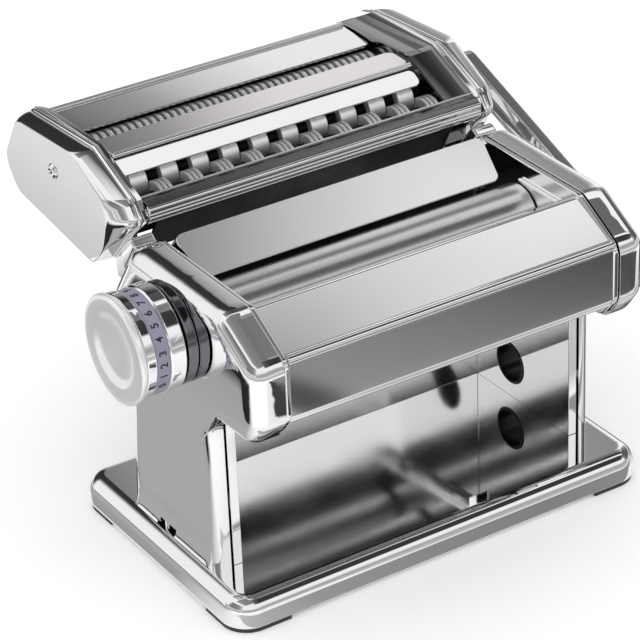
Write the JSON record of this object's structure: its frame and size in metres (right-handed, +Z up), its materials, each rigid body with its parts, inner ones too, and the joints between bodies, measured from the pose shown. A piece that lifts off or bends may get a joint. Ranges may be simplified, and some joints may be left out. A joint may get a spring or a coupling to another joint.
{
  "type": "hand-cranked pasta roller",
  "caption": "Table-top dough roller in mirror chrome: smooth rollers under a hopper, a dial that sets their gap, a lift-off ribbon cutter head behind and a crank with a turning grip.",
  "frame": {"origin": "middle of the base tray's outline, on the table plane", "axes": "+X along the rollers toward the crank, -Y toward the user's front, +Z up"},
  "size_m": [0.3077, 0.2095, 0.163],
  "materials": {
    "chrome": "mirror chrome",
    "steel": "satin steel",
    "roller": "satin anodised",
    "cutter": "matte anodised",
    "bearing": "matte",
    "foot": "matte rubber",
    "dark": "satin",
    "scale": "satin",
    "face": "satin",
    "grip": "matte"
  },
  "bodies": {
    "frame": {"base_tray": "chrome", "base_feet": "foot", "left_side_shell": "chrome", "right_side_shell": "chrome", "left_leg_plate": "chrome", "right_leg_plate": "chrome", "clamp_sleeve": "dark", "left_frame_plate": "chrome", "right_frame_plate": "chrome", "front_bushes": "bearing", "front_apron": "chrome", "rear_hopper_plate": "chrome", "rear_cover": "chrome", "rear_panel": "chrome", "left_end_cheek": "chrome", "right_end_cheek": "chrome", "rear_scraper": "steel", "front_scraper": "steel", "tie_rods": "steel", "left_guide": "chrome", "right_guide": "chrome", "dial_flange": "dark", "dial_sleeve": "bearing"},
    "front_roll": {"front_roller": "roller", "front_roller_gear": "steel"},
    "carriage": {"rear_sliders": "bearing"},
    "rear_roll": {"rear_roller": "roller", "rear_roller_gear": "steel"},
    "dial_slide": {"dial_spindle": "steel"},
    "dial": {"dial_ring": "chrome", "dial_scale": "scale", "dial_face": "face"},
    "cutter_head": {"left_cutter_plate": "chrome", "right_cutter_plate": "chrome", "left_cutter_cap": "chrome", "right_cutter_cap": "chrome", "cap_screws": "steel", "cutter_rear_cover": "chrome", "cutter_ridge": "chrome", "cutter_front_rail": "chrome", "fine_combs": "steel", "wide_combs": "steel", "cutter_bushes": "bearing", "cutter_pins": "steel"},
    "fine_front": {"fine_front_cutter": "cutter", "fine_front_gear": "steel"},
    "fine_rear": {"fine_rear_cutter": "cutter", "fine_rear_gear": "steel"},
    "wide_front": {"wide_front_cutter": "cutter", "wide_front_gear": "steel"},
    "wide_rear": {"wide_rear_cutter": "cutter", "wide_rear_gear": "steel"},
    "crank": {"crank_arm": "chrome", "crank_shank": "steel", "crank_pin": "steel"},
    "grip": {"crank_grip": "grip"}
  },
  "joints": [
    {"name": "front_roll_turn", "type": "hinge", "parent": "frame", "child": "front_roll", "pos_m": [0, -0.0438, 0.1165], "axis": [1, 0, 0], "continuous": true},
    {"name": "carriage_shift", "type": "slide", "parent": "frame", "child": "carriage", "axis": [0, -1, 0], "range_m": [0, 0.0038]},
    {"name": "rear_roll_turn", "type": "hinge", "parent": "carriage", "child": "rear_roll", "pos_m": [0, -0.013, 0.1165], "axis": [1, 0, 0], "continuous": true},
    {"name": "dial_pull", "type": "slide", "parent": "frame", "child": "dial_slide", "axis": [-1, 0, 0], "range_m": [0, 0.004], "stiffness_N_per_m": 900, "springref_m": -0.003},
    {"name": "dial_turn", "type": "hinge", "parent": "dial_slide", "child": "dial", "pos_m": [-0.1085, -0.013, 0.1165], "axis": [1, 0, 0], "range_deg": [0, 288]},
    {"name": "cutter_lift", "type": "slide", "parent": "frame", "child": "cutter_head", "axis": [0, 0, 1], "range_m": [0, 0.03]},
    {"name": "fine_front_turn", "type": "hinge", "parent": "cutter_head", "child": "fine_front", "pos_m": [0, 0.079, 0.14], "axis": [1, 0, 0], "continuous": true},
    {"name": "fine_rear_turn", "type": "hinge", "parent": "cutter_head", "child": "fine_rear", "pos_m": [0, 0.09124, 0.14637], "axis": [1, 0, 0], "continuous": true},
    {"name": "wide_front_turn", "type": "hinge", "parent": "cutter_head", "child": "wide_front", "pos_m": [0, 0.045, 0.141], "axis": [1, 0, 0], "continuous": true},
    {"name": "wide_rear_turn", "type": "hinge", "parent": "cutter_head", "child": "wide_rear", "pos_m": [0, 0.05724, 0.14737], "axis": [1, 0, 0], "continuous": true},
    {"name": "crank_pull", "type": "slide", "parent": "fine_front", "child": "crank", "axis": [1, 0, 0], "range_m": [0, 0.02]},
    {"name": "grip_turn", "type": "hinge", "parent": "crank", "child": "grip", "pos_m": [0.152, -0.05153, 0.08937], "axis": [1, 0, 0], "continuous": true}
  ],
  "couplings": [
    {"joint": "rear_roll_turn", "follows": "front_roll_turn", "ratio": -1},
    {"joint": "carriage_shift", "follows": "dial_turn", "m_per_rad": 0.000716},
    {"joint": "fine_rear_turn", "follows": "fine_front_turn", "ratio": -1},
    {"joint": "wide_rear_turn", "follows": "wide_front_turn", "ratio": -1}
  ]
}
